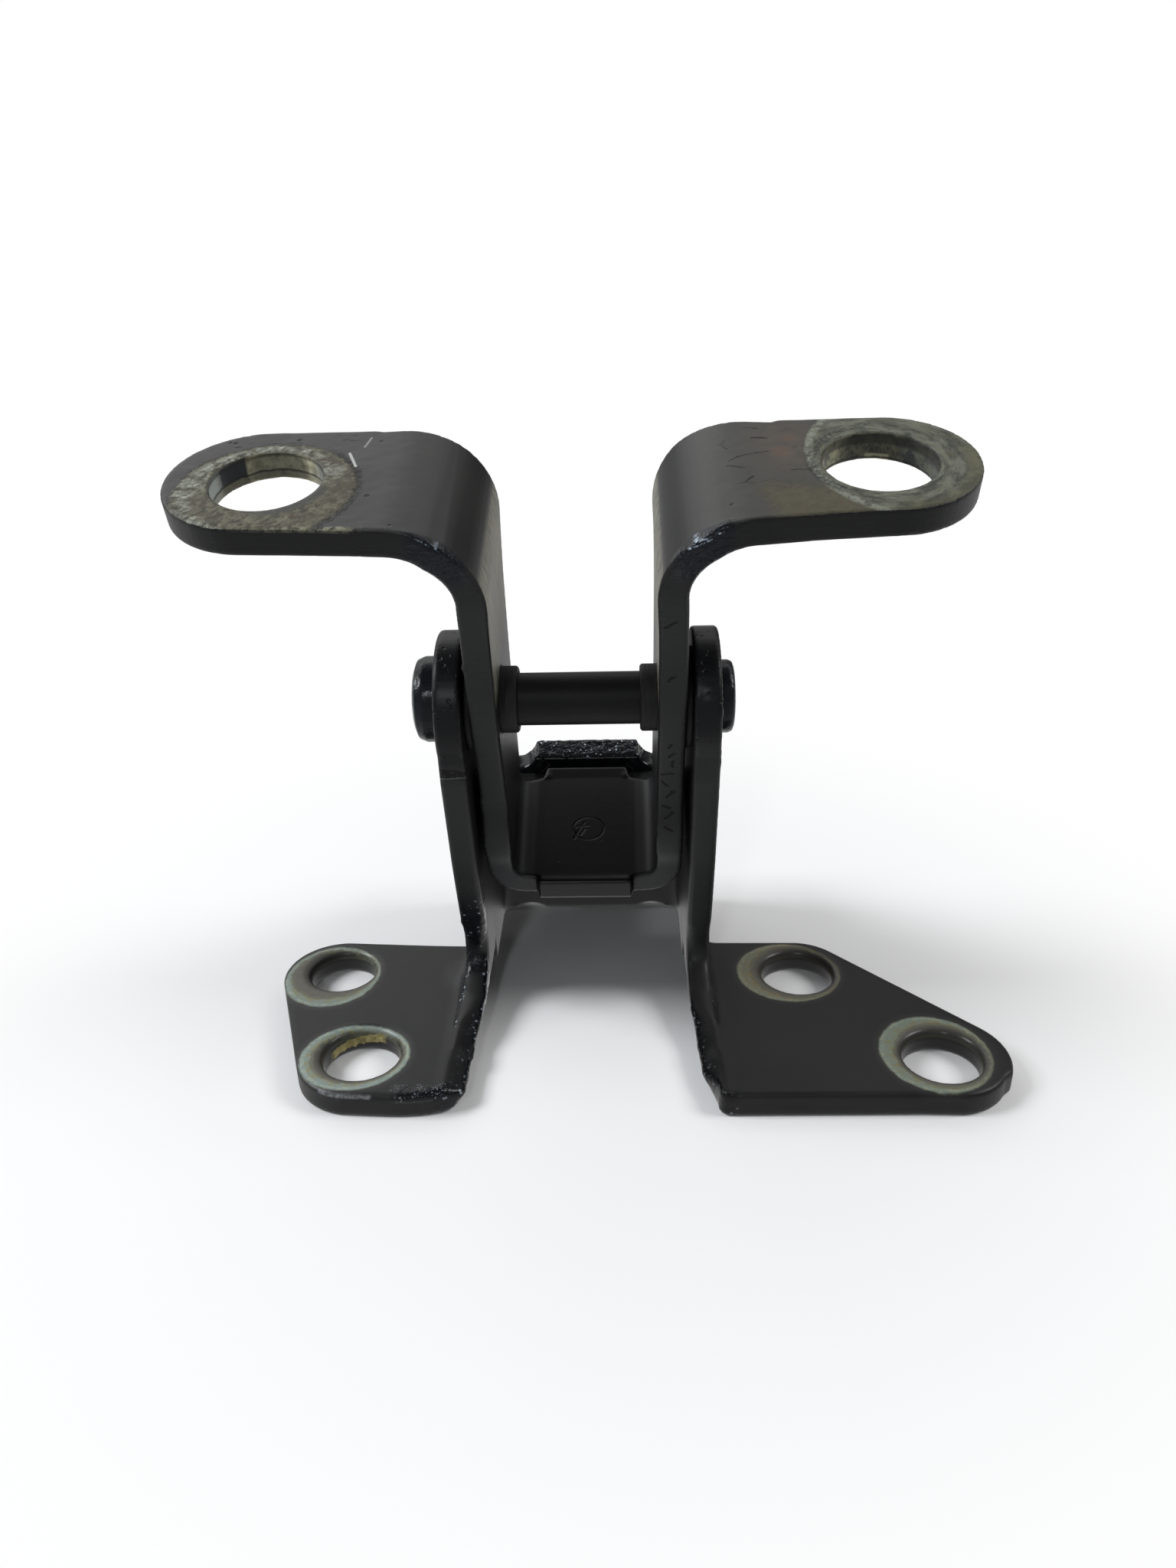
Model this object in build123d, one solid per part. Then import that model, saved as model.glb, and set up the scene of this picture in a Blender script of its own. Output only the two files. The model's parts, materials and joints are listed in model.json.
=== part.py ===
from build123d import *
import os
from math import cos, radians, sin, tan

os.makedirs("parts", exist_ok=True)

# Car door hinge: a stamped body bracket with two upright ears and two bolt feet,
# a stamped door bracket that is one strip bent into a U with two bolt flanges,
# and a riveted pin through two flanged bushes. Millimetres, +Z up, feet on Z = 0,
# the pin along X. Everything is drawn about the pin's midpoint over the feet
# and moved to the bounding box's bottom centre at the end.

# Pin and bushes
PIN_D = 8.0
PIN_Z = 55.8                    # pin axis above the underside of the feet
HEAD_D = 13.1                   # formed head, left end
HEAD_L = 3.9
RIVET_D = 11.1                  # upset end, right
RIVET_L = 2.4
BUSH_D = 10.2
BUSH_BORE = 8.08                # 0.04 running clearance on the radius
BUSH_NOSE = 2.5                 # barrel standing proud inside each arm
BUSH_FLANGE_D = 15.5
END_GAP = 0.04                  # bush flange to ear

# Body bracket
T_OUT = 4.0
EAR_X = 16.8                    # inner face of each ear
EAR_ROLL = 0.6                  # rolled outer edges of the ears
FOOT_BEND = 1.2                 # inside radius where ear turns into foot
FOOT_ROLL = 0.8                 # rolled upper edges of the feet
FOOT_SLOT = 12.6                # the ear comes down to the floor behind this line
HOLE_D = 11.8                   # bolt holes in the feet
HOLE_SMALL_D = 10.9             # rear left hole, the locating one
HOLE_ROLL = 1.5                 # rolled upper rim of each hole
RIM_FLATS = 2                   # flats that stand for each round rim
WEB_Y = 30.1                    # front face of the web at Z = 0
WEB_TILT = 5.0                  # the web leans forward, degrees
WEB_TOP = 34.3
WEB_TOP_SLOPE = 22.0            # its top edge is sheared on the slant
WEB_TOP_HALF = 9.2              # half width of the top edge between the reliefs
WEB_BEND = 2.5
WEB_LOW = 0.5
LEFT_HOLES = [(-43.0, 4.3), (-35.3, -18.5)]
RIGHT_HOLES = [(36.0, 2.8), (55.1, -19.9)]

# Door bracket, drawn square to its own strip and then swung about the pin
SWING = 19.0
T_IN = 4.15
ARM_X = 15.8                    # outer face of each arm at the pin
ARM_TOE = 2.5                   # the arms close in above the pin, degrees
FLANGE_LEFT = 35.9              # height of each flange face above the pin
FLANGE_RIGHT = 36.7
FLANGE_HOLE = (40.6, 3.4)
FLANGE_HOLE_D = 15.1
FLANGE_BEND = 8.3               # inside radius, flange to arm
U_FLOOR = 30.0                  # floor of the U below the pin
U_BEND = 2.0                    # inside radius, arm to floor
BAR_HALF = 7.7                  # half width of the tongue at the front of the U floor
BAR_FRONT = -10.8
BAR_REAR = 16.7
BEND_FRONT = -9.4               # edges of the strip round the U's bends
BEND_REAR = 14.0


def on_circle(centre, r, angle):
    """Point at an angle, in degrees, on a circle about a centre."""
    return (centre[0] + r * cos(radians(angle)), centre[1] + r * sin(radians(angle)))


def arc_about(centre, r, a0, a1):
    """Arc about a centre from one angle to another."""
    mid = on_circle(centre, r, (a0 + a1) / 2)
    return ThreePointArc(on_circle(centre, r, a0), mid, on_circle(centre, r, a1))


def cylinder_x(d, x0, x1, y=0.0, z=0.0):
    """Cylinder along X between two X positions."""
    c = Cylinder(d / 2, x1 - x0, align=(Align.CENTER, Align.CENTER, Align.MIN))
    return Pos(x0, y, z) * Rot(0, 90, 0) * c


def bent_sheet(start, moves, t):
    """Section of bent sheet that sets off along +x from the middle of its thickness.

    Each move is a straight length or a (middle radius, turn in degrees) bend,
    with left turns positive.
    """
    point, heading = start, 0.0
    faces = ([], [])
    ends = []

    def beside(p, h, off):
        return on_circle(p, off, h + 90)

    ends.append((beside(point, heading, t / 2), beside(point, heading, -t / 2)))
    for move in moves:
        if isinstance(move, tuple):
            r, turn = move
            side = 1 if turn > 0 else -1
            centre = on_circle(point, r, heading + 90 * side)
            for edges, off in ((faces[0], t / 2), (faces[1], -t / 2)):
                a0 = heading - 90 * side
                edges.append(("arc", centre, r - side * off, a0, a0 + turn))
            point = on_circle(centre, r, heading - 90 * side + turn)
            heading += turn
        else:
            nxt = on_circle(point, move, heading)
            for edges, off in ((faces[0], t / 2), (faces[1], -t / 2)):
                edges.append(("line", beside(point, heading, off), beside(nxt, heading, off)))
            point = nxt
    ends.append((beside(point, heading, t / 2), beside(point, heading, -t / 2)))
    with BuildSketch(Plane.XZ) as sk:
        with BuildLine():
            for edge in faces[0] + faces[1]:
                if edge[0] == "arc":
                    arc_about(*edge[1:])
                else:
                    Line(*edge[1:])
            for a, b in ends:
                Line(a, b)
        make_face()
    return sk.sketch


# Body bracket. The ear from the side: boss, slanted front edge with its small
# kink, waist above the foot, then the low inner edge of the foot's bend.
def ear_side():
    front = -40
    low = FOOT_BEND + T_OUT - 0.3
    with BuildSketch(Plane.YZ) as sk:
        with BuildLine():
            Polyline((-9.7, 50.2), (-9.3, 45.8), (-5.4, 30.0), (-2.4, 20.6), (0.2, 14.0))
            Spline((0.2, 14.0), (1.1, 9.6), (-2.2, 6.4), tangents=[(0.38, -1), (-1, -0.28)])
            Polyline((-2.2, 6.4), (-6.0, low), (front, low), (front, -2), (40, -2))
            Polyline((40, -2), (40, 38), (24.0, 38), (20.2, 44.0), (8.9, 61.9))
            ThreePointArc((8.9, 61.9), (-2.0, PIN_Z + 10.45), (-9.7, 50.2))
        make_face()
    slab = extrude(sk.sketch, amount=EAR_X + T_OUT, both=True)
    rims = slab.edges().filter_by_position(Axis.X, EAR_X + T_OUT - 0.01, EAR_X + T_OUT + 0.01)
    rims += slab.edges().filter_by_position(Axis.X, -EAR_X - T_OUT - 0.01, -EAR_X - T_OUT + 0.01)
    rims = [e for e in rims if e.center().Z > 6 and e.center().Y < 24]
    return fillet(rims, EAR_ROLL)


def foot_outline(side):
    """One foot from above: rear edge, ends rounded about the bolt holes, inner edge."""
    rear, front = LEFT_HOLES if side < 0 else RIGHT_HOLES
    with BuildSketch() as sk:
        with BuildLine():
            if side < 0:
                heel = (-43.6, 3.6)
                Polyline((-12, 11.3), (-28, 12.0), on_circle(heel, 9.5, 90))
                arc_about(heel, 9.5, 90, 196)
                Line(on_circle(heel, 9.5, 196), on_circle(front, 10.1, 198))
                arc_about(front, 10.1, 198, 262)
                Spline(
                    on_circle(front, 10.1, 262),
                    (-30.5, -28.9), (-23.4, -28.6), (-18.5, -26.7), (-16.7, -22.0),
                )
                Polyline((-16.7, -22.0), (-12, -22.0), (-12, 11.3))
            else:
                tip = (55.4, -19.9)
                Polyline((12, 12.3), (24, 12.1), on_circle(rear, 9.15, 84))
                arc_about(rear, 9.15, 84, 42)
                Line(on_circle(rear, 9.15, 42), on_circle(tip, 10.1, 42))
                arc_about(tip, 10.1, 42, -24)
                Line(on_circle(tip, 10.1, -24), on_circle(tip, 9.5, -34))
                arc_about(tip, 9.5, -34, -84)
                Polyline(on_circle(tip, 9.5, -84), (50, -29.1), (22.0, -29.1))
                ThreePointArc((22.0, -29.1), (20.6, -28.7), (20.1, -27.7))
                Spline((20.1, -27.7), (19.5, -25.4), (17.4, -21.9), (16.6, -18.0))
                Polyline((16.6, -18.0), (12, -18.0), (12, 12.3))
        make_face()
    return sk.sketch


def foot(side):
    """Foot plate with its bend up into the ear."""
    ro = FOOT_BEND + T_OUT
    c = EAR_X + ro
    plan = foot_outline(side)
    plate = extrude(Pos(0, 0, -1) * plan, amount=T_OUT + 1)
    plate = fillet(plate.faces().sort_by(Axis.Z)[-1].outer_wire().edges(), FOOT_ROLL)
    root = extrude(Pos(0, 0, -1) * plan, amount=12)
    inward = Align.MAX if side > 0 else Align.MIN
    root &= Pos(side * (c + 0.4), 0, 0) * Box(30, 120, 40, align=(inward, Align.CENTER, Align.CENTER))
    with BuildSketch(Plane.XZ) as sk:
        with BuildLine():
            Polyline((c, 0), (75, 0), (75, T_OUT), (c, T_OUT))
            RadiusArc((c, T_OUT), (EAR_X + T_OUT, ro), FOOT_BEND)
            Line((EAR_X + T_OUT, ro), (EAR_X, ro))
            RadiusArc((EAR_X, ro), (c, 0), -ro)
        make_face()
    body = extrude(sk.sketch, amount=60, both=True)
    if side < 0:
        body = mirror(body, about=Plane.YZ)
    return body & (plate + root)


def web_top_cut():
    """Slanted shear along the web's top edge, dropping into a relief at each bend."""
    slope = radians(WEB_TOP_SLOPE)
    y0 = 24.2
    y_top = WEB_Y - WEB_TOP * tan(radians(WEB_TILT))
    drop = (y_top - y0) * tan(slope)
    h = WEB_TOP
    a = WEB_TOP_HALF
    with BuildSketch(Plane.XZ) as sk:
        with BuildLine():
            Line((0, h), (a, h))
            ThreePointArc((a, h), (a + 1.15, h - 1.95), (a + 3.7, h - 3.0))
            Polyline((a + 3.7, h - 3.0), (26, h - 3.0), (26, h + 40), (0, h + 40), (0, h))
        make_face()
        mirror(about=Plane.YZ)
    return extrude(Pos(0, y0, -drop) * sk.sketch, amount=30, dir=(0, cos(slope), sin(slope)))


def rolled(r, x, z, steps):
    """Points down a convex quarter round of radius r, from its top (x, z) outwards."""
    return [on_circle((x, z - r), r, 90 - 90 * i / steps) for i in range(steps + 1)]


def rolled_rim(d):
    """Cutter that leaves a rolled rim of HOLE_ROLL on a hole's upper edge, in a few flats."""
    r = d / 2
    rim = [(2 * (r + HOLE_ROLL) - x, z) for x, z in rolled(HOLE_ROLL, r + HOLE_ROLL, 0, RIM_FLATS)]
    profile = Polyline((0, 1), *rim, (0, -HOLE_ROLL), close=True)
    return revolve(Plane.XZ * make_face(profile), axis=Axis.Z)


def build_outer():
    # Plan of the U: two ears joined by the web, sheared forward so the web leans.
    t = radians(WEB_TILT)
    ri = WEB_BEND
    ro = ri + T_OUT
    xo = EAR_X + T_OUT
    yo = WEB_Y + T_OUT
    k = 1 - cos(radians(45))
    with BuildSketch() as plan:
        with BuildLine():
            Line((EAR_X, -20), (EAR_X, WEB_Y - ri))
            ThreePointArc(
                (EAR_X, WEB_Y - ri), (EAR_X - ri * k, WEB_Y - ri * k), (EAR_X - ri, WEB_Y)
            )
            Polyline((EAR_X - ri, WEB_Y), (0, WEB_Y), (0, yo), (xo - ro, yo))
            ThreePointArc((xo - ro, yo), (xo - ro * k, yo - ro * k), (xo, yo - ro))
            Polyline((xo, yo - ro), (xo, -20), (EAR_X, -20))
        make_face()
        mirror(about=Plane.YZ)
    channel = extrude(plan.sketch, amount=75 / cos(t), dir=(0, -sin(t), cos(t)))
    channel &= ear_side()
    channel -= web_top_cut()
    behind = Polyline((24.2, 30.1), (11.8, 57.3), (45, 57.3), (45, 30.1), close=True)
    slope = extrude(Plane.YZ * make_face(behind), amount=60, both=True)
    channel -= slope - Box(2 * (EAR_X - ri), 200, 200)

    # Lower edge of the web with its two reliefs, and the ears cut back over the feet.
    for s in (-1, 1):
        channel -= Pos(s * 11.6, WEB_Y, WEB_LOW - 3.2) * Rot(90, 0, 0) * Cylinder(4.2, 40)
    down = (Align.CENTER, Align.CENTER, Align.MAX)
    channel -= Pos(0, 0, WEB_LOW) * Box(60, 100, 10, align=down)
    bend = FOOT_BEND + T_OUT
    channel -= Pos(0, FOOT_SLOT, 0) * Box(60, 60, bend, align=(Align.CENTER, Align.MAX, Align.MIN))

    # Feet, with the free inner edge of each bend sheared off square to the curved sheet.
    th = radians(64)
    cut = Plane(
        origin=(EAR_X + bend + 8 * sin(th), 0, bend + 8 * cos(th)),
        x_dir=(0, 1, 0), z_dir=(-sin(th), 0, -cos(th)),
    )
    edge = Polyline(
        (-60, 0.5), (-19.2, 0.5), (-18.8, 0), (-14, 0), (-1.5, -3.6), (-1.5, -14), (-60, -14),
        close=True,
    )
    shear = extrude(cut * make_face(edge), amount=17)
    body = channel + (foot(1) - shear) + (foot(-1) - mirror(shear, about=Plane.YZ))
    for x, y in LEFT_HOLES + RIGHT_HOLES:
        d = HOLE_SMALL_D if (x, y) == LEFT_HOLES[0] else HOLE_D
        body -= Pos(x, y, 0) * Cylinder(d / 2, 20)
        body -= Pos(x, y, T_OUT) * rolled_rim(d)
    body -= cylinder_x(PIN_D, -30, 30, z=PIN_Z)
    return body


# Door bracket.
def strip_half(height, rise):
    """Half of the strip's section: U floor, arm, flange; one thickness throughout."""
    t = T_IN
    r_u = U_BEND + t / 2
    r_f = FLANGE_BEND + t / 2
    toe = ARM_TOE
    r_toe = 300
    z_toe = 9.0
    z_bend = height - t / 2 - r_f * (cos(radians(rise)) + sin(radians(toe)))
    moves = [
        ARM_X - t / 2 - r_u,
        (r_u, 90),
        z_toe + U_FLOOR + t / 2 - r_u,
        (r_toe, toe),
        (z_bend - z_toe - r_toe * sin(radians(toe))) / cos(radians(toe)),
        (r_f, -90 - toe + rise),
        50,
    ]
    return bent_sheet((0, -U_FLOOR - t / 2), moves, t)


def arm_side():
    """Side outline of the strip: slight boss at the pin, stepped back round the U's bends."""
    with BuildSketch(Plane.YZ) as sk:
        with BuildLine():
            Polyline((-10.8, 60), (-10.8, 33), (-9.6, 27))
            Spline(
                (-9.6, 27), (-8.6, 20), (-8.1, 12), (-8.7, 4), (-7.9, -8), (-8.6, -16), (-10.1, -22.5),
                tangents=[(0.15, -1), (0, -1)],
            )
            Spline((-10.1, -22.5), (-9.9, -25.0), (BEND_FRONT, -28.0), tangents=[(0, -1), (0, -1)])
            Line((BEND_FRONT, -28.0), (BEND_FRONT, -50))
            Polyline((BEND_FRONT, -50), (BEND_REAR, -50), (BEND_REAR, -24), (14.2, -14))
            Spline((14.2, -14), (15.0, 0), (17.2, 18), tangents=[(0, 1), (0.1, 1)])
            Polyline((17.2, 18), (17.2, 60), (-10.8, 60))
        make_face()
    return extrude(sk.sketch, amount=80, both=True)


def flange_plan():
    """The strip from above: round flange ends, a small step where each wider end begins."""
    with BuildSketch() as sk:
        with BuildLine():
            right = (41.6, 3.4)
            left = (-42.0, 4.0)
            Polyline((0, -14), (14, -11.5), (20, -10.3), (31, -9.2), on_circle(right, 12.1, -94))
            arc_about(right, 12.1, -94, 90)
            Polyline(on_circle(right, 12.1, 90), (28.5, 15.5), (27.5, 15.0), (20, 15.9), (14, 17.3))
            Polyline((14, 17.3), (-14, 17.3), (-26.5, 16.3), (-27.5, 16.6), on_circle(left, 12.6, 90))
            arc_about(left, 12.6, 90, 266)
            Polyline(on_circle(left, 12.6, 266), (-31, -9.2), (-20, -10.0), (-14, -11.2), (0, -14))
        make_face()
    return extrude(Pos(0, 0, -50) * sk.sketch, amount=120)


def build_inner():
    section = strip_half(FLANGE_RIGHT, 0.6) + mirror(strip_half(FLANGE_LEFT, 0.0), about=Plane.YZ)
    strip = extrude(section, amount=40, both=True) & arm_side() & flange_plan()
    strip += Pos(0, BAR_FRONT, -U_FLOOR) * Box(
        2 * BAR_HALF, 4, T_IN, align=(Align.CENTER, Align.MIN, Align.MAX)
    )
    strip += Pos(0, BAR_REAR, -U_FLOOR) * Box(
        2 * (ARM_X - T_IN - U_BEND), 5, T_IN, align=(Align.CENTER, Align.MAX, Align.MAX)
    )
    for s in (-1, 1):
        # rear relief of each bend: a round punch through its middle, between arm and floor
        x, z = s * (ARM_X - T_IN - U_BEND), -U_FLOOR + U_BEND
        strip -= Pos(x, 17.4, z) * Rot(0, -45 * s, 0) * Pos(0, 0, -15) * Cylinder(4.4, 30)
        strip -= Pos(s * FLANGE_HOLE[0], FLANGE_HOLE[1], FLANGE_LEFT) * Cylinder(FLANGE_HOLE_D / 2, 20)
    strip -= cylinder_x(BUSH_D, -30, 30)
    return strip


def swing(shape):
    """From the strip's own frame to its stored pose on the pin."""
    return Pos(0, 0, PIN_Z) * Rot(SWING, 0, 0) * shape


def round_head(d, length, roll):
    """Head along +X from X = 0, the rim of its far face rolled in a few flats."""
    rim = rolled(roll, length - roll, d / 2, RIM_FLATS)
    return revolve(make_face(Polyline((0, 0), (0, d / 2), *rim, (length, 0), close=True)), axis=Axis.X)


def build_pin():
    xe = EAR_X + T_OUT
    pin = cylinder_x(PIN_D, -xe - 1, xe + 1)
    pin += Pos(-xe, 0, 0.25) * mirror(round_head(HEAD_D, HEAD_L, 1.6), about=Plane.YZ)
    pin += Pos(xe, 0, 0) * round_head(RIVET_D, RIVET_L, 0.9)
    return Pos(0, 0, PIN_Z) * pin


def build_bush(s):
    inner = ARM_X - T_IN - BUSH_NOSE
    barrel = cylinder_x(BUSH_D, inner, EAR_X - END_GAP)
    flange = cylinder_x(BUSH_FLANGE_D, ARM_X, EAR_X - END_GAP)
    b = barrel + flange - cylinder_x(BUSH_BORE, inner - 1, EAR_X + 1)
    nose = b.edges().filter_by(GeomType.CIRCLE).filter_by_position(Axis.X, inner - 0.01, inner + 0.01)
    b = chamfer(nose, 0.3)
    if s < 0:
        b = mirror(b, about=Plane.YZ)
    return swing(b)


parts = {
    "outer_bracket": build_outer(),
    "inner_bracket": swing(build_inner()),
    "hinge_pin": build_pin(),
    "left_bush": build_bush(-1),
    "right_bush": build_bush(1),
}

# Frame: bottom centre of the bounding box.
boxes = [p.bounding_box() for p in parts.values()]
low = [min(b.min.X for b in boxes), min(b.min.Y for b in boxes), min(b.min.Z for b in boxes)]
high = [max(b.max.X for b in boxes), max(b.max.Y for b in boxes), max(b.max.Z for b in boxes)]
shift = (-(low[0] + high[0]) / 2, -(low[1] + high[1]) / 2, -low[2])
print("frame shift", [round(v, 4) for v in shift], "size", [round(b - a, 3) for a, b in zip(low, high)])
for name, shape in parts.items():
    export_step(Pos(*shift) * shape, f"parts/{name}.step")
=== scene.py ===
# %% [markdown]
# # A painted car door hinge
# The hinge is five steel parts: a body bracket with two ears and two bolt feet,
# a door bracket bent from one strip, a riveted pin and two flanged bushes.
# The solids already have their true shape and place, so this lesson adds the
# camera, the light, and above all the finish: black paint that is worn through
# where bolts were clamped, and the small marks that a used part carries.

# %% Load the solids
import bmesh
import bpy
import json
import numpy as np
from math import cos, radians, sin
from mathutils import Matrix, Vector

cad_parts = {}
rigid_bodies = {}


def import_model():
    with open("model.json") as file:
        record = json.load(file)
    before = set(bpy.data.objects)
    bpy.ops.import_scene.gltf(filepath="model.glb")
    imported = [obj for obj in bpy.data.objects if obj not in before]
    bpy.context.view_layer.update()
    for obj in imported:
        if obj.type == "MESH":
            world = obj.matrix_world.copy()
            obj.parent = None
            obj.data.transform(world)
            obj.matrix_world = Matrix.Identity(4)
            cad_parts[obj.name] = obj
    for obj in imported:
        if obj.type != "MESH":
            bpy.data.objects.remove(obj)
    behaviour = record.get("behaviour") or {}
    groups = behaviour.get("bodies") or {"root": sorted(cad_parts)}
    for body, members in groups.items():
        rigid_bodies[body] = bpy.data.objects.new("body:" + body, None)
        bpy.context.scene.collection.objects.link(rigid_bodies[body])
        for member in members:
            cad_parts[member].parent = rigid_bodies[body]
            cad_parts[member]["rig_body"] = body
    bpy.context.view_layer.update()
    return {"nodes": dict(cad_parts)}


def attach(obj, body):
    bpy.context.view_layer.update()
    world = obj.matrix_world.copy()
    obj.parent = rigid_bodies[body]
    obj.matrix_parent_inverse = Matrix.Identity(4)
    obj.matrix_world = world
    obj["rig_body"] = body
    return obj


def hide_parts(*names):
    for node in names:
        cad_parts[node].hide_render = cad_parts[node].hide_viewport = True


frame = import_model()
nodes = frame["nodes"]
print("nodes:", sorted(nodes))

# %% [markdown]
# ## Where things are
# Patterns are placed in millimetres. The pin's axis is the natural origin for
# the door bracket, whose strip is stored turned about it, so positions on that
# strip are given square to the strip itself and worked out from this one turn.

# %% The pin and the turn of the door bracket
MM = 0.001
PIN = Vector((-5.45, -2.354, 55.8))      # a point of the pin's axis, mid hinge
LEAN = 19.0                              # degrees that the door bracket's strip is turned
TURN = radians(LEAN)
FLANGE_HOLES = ((-40.6, 3.4), (40.6, 3.4))   # across and along the strip, from the pin
print("pin at", tuple(PIN), "mm; strip turned", LEAN, "degrees")

# %% [markdown]
# ## The camera
# A camera is a place, three directions and a lens. The picture was taken close
# to the part, from slightly above, so the near feet look wide and the flanges
# nearly hide what is behind them. The three directions are worked out from how
# far the camera is turned, dipped and rolled.

# %% Camera
EYE = (0.000737, -0.165442, 0.118582)    # metres
YAW, DIP, ROLL = -0.03214, 0.44195, 0.02717
REACH = 1500.4 / 1536                    # focal length over the picture's width


def aim(yaw, dip, roll):
    """Camera directions from three turns.

    Forward starts along +Y, turns sideways by yaw and dips by dip. Right and
    down are square to it, and are then rolled about it.
    """
    forward = np.array([sin(yaw) * cos(dip), cos(yaw) * cos(dip), -sin(dip)])
    level = np.array([cos(yaw), -sin(yaw), 0.0])
    down = np.cross(forward, level)
    return cos(roll) * level + sin(roll) * down, cos(roll) * down - sin(roll) * level, forward


right, down, forward = aim(YAW, DIP, ROLL)
view = bpy.data.cameras.new("picture_view")
view.sensor_fit = "HORIZONTAL"
view.sensor_width = 36.0
view.lens = REACH * view.sensor_width
view.clip_start = 0.01
camera = bpy.data.objects.new("picture_view", view)
turned = Matrix((right, -down, -forward)).transposed().to_4x4()
camera.matrix_world = Matrix.Translation(EYE) @ turned
bpy.context.scene.collection.objects.link(camera)
bpy.context.scene.camera = camera
print("camera", [round(v, 4) for v in camera.matrix_world.translation], "lens", round(view.lens, 2))

# %% [markdown]
# ## Shader sums written as sums
# A finish is mostly arithmetic: how far is this point from a bolt's centre, and
# is it past the washer's edge? Writing that with one node per line is hard to
# read, so a small class wraps a node's output and lets Python's own operators
# add the Math nodes. A second class holds one material and makes every other
# node through a single method.

# %% Wires and finishes
class Wire:
    """The output of a node, in sums."""

    def __init__(self, finish, socket):
        self.finish = finish
        self.socket = socket

    def sum(self, operation, *values):
        return self.finish.sum(operation, *values)

    def __add__(self, other):
        return self.sum("ADD", self, other)

    def __sub__(self, other):
        return self.sum("SUBTRACT", self, other)

    def __rsub__(self, other):
        return self.sum("SUBTRACT", other, self)

    def __mul__(self, other):
        return self.sum("MULTIPLY", self, other)

    __radd__ = __add__
    __rmul__ = __mul__

    def least(self, other):
        return self.sum("MINIMUM", self, other)

    def most(self, other):
        return self.sum("MAXIMUM", self, other)

    def size(self):
        return self.sum("ABSOLUTE", self)

    def root(self):
        return self.sum("SQRT", self)

    def rise(self, low, high):
        """0 below low, 1 above high, a smooth step between; high may be the smaller."""
        if high < low:
            return 1 - self.rise(high, low)
        return self.finish.node(
            "ShaderNodeMapRange", {"interpolation_type": "SMOOTHSTEP"},
            {0: self, 1: low, 2: high, 3: 0.0, 4: 1.0},
        )


class Nodes:
    """A node tree, filled through one method."""

    def __init__(self, owner):
        owner.use_nodes = True
        self.tree = owner.node_tree
        self.tree.nodes.clear()

    def node(self, kind, settings=None, inputs=None, output=0):
        """Add one node: its settings first, then the values or wires of its sockets."""
        made = self.tree.nodes.new(kind)
        for key, value in (settings or {}).items():
            setattr(made, key, value)
        for key, value in (inputs or {}).items():
            if isinstance(value, Wire):
                self.tree.links.new(value.socket, made.inputs[key])
            else:
                made.inputs[key].default_value = value
        return None if output is None else Wire(self, made.outputs[output])

    def sum(self, operation, *values):
        """Any Math node."""
        return self.node("ShaderNodeMath", {"operation": operation}, dict(enumerate(values)))

    def area(self, *edges):
        """Product of smooth steps, each given as a wire, its value at 0 and its value at 1."""
        share = 1.0
        for wire, low, high in edges:
            share = wire.rise(low, high) * share
        return share

    def parts(self, vector):
        """The three components of a vector."""
        split = self.node("ShaderNodeSeparateXYZ", {}, {0: vector}).socket.node
        return [Wire(self, split.outputs[i]) for i in range(3)]

    def rays(self, *kinds):
        """Whether the ray that asks is of each kind, such as Is Camera Ray."""
        path = self.node("ShaderNodeLightPath").socket.node.outputs
        return [Wire(self, path[kind]) for kind in kinds]


class Finish(Nodes):
    """One material, and the positions in millimetres that its patterns use."""

    def __init__(self, name):
        self.material = bpy.data.materials.new(name)
        super().__init__(self.material)
        place = self.node("ShaderNodeTexCoord", {}, {}, "Object")
        self.place = self.node(
            "ShaderNodeVectorMath", {"operation": "SCALE"}, {0: place, "Scale": 1000.0}
        )
        self.x, self.y, self.z = self.parts(self.place)

    def noise(self, scale, detail=2.0, roughness=0.5, place=None):
        """Soft noise about 0.5, with scale blots to the millimetre."""
        return self.node(
            "ShaderNodeTexNoise", {},
            {"Vector": place or self.place, "Scale": scale, "Detail": detail, "Roughness": roughness},
        )

    def cells(self, scale, feature="F1", place=None):
        """Distance to the nearest of many scattered points, or to the edge between them."""
        return self.node(
            "ShaderNodeTexVoronoi", {"feature": feature},
            {"Vector": place or self.place, "Scale": scale},
        )

    def vector(self, x, y, z):
        return self.node("ShaderNodeCombineXYZ", {}, {0: x, 1: y, 2: z})

    def mix(self, share, first, second):
        """Colour that goes from first to second."""
        first, second = (
            c if isinstance(c, Wire) else (*c, 1.0) for c in (first, second)
        )
        return self.node("ShaderNodeMix", {"data_type": "RGBA"}, {0: share, 6: first, 7: second}, 2)

    def blend(self, share, first, second):
        """Number that goes from first to second."""
        return first + share * (second - first)

    def apart(self, x, y, at):
        """Distance in the plane from a point."""
        dx = x - at[0]
        dy = y - at[1]
        return (dx * dx + dy * dy).root()

    def streak(self, x, y, start, end):
        """Distance in the plane from the straight line between two points."""
        way = Vector(end) - Vector(start)
        far = way.length
        way.normalize()
        dx = x - start[0]
        dy = y - start[1]
        run = (dx * way.x + dy * way.y).most(0.0).least(far)
        return self.apart(dx - run * way.x, dy - run * way.y, (0.0, 0.0))

    def surface(self, colour, roughness, height, specular):
        """Principled surface whose bump is a height in millimetres."""
        normal = self.node(
            "ShaderNodeBump", {}, {"Height": height, "Distance": MM, "Strength": 1.0}
        )
        shader = self.node(
            "ShaderNodeBsdfPrincipled", {},
            {"Base Color": colour, "Roughness": roughness, "Normal": normal,
             "Specular IOR Level": specular},
        )
        self.node("ShaderNodeOutputMaterial", {}, {"Surface": shader}, None)


print("shader classes ready")

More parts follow.
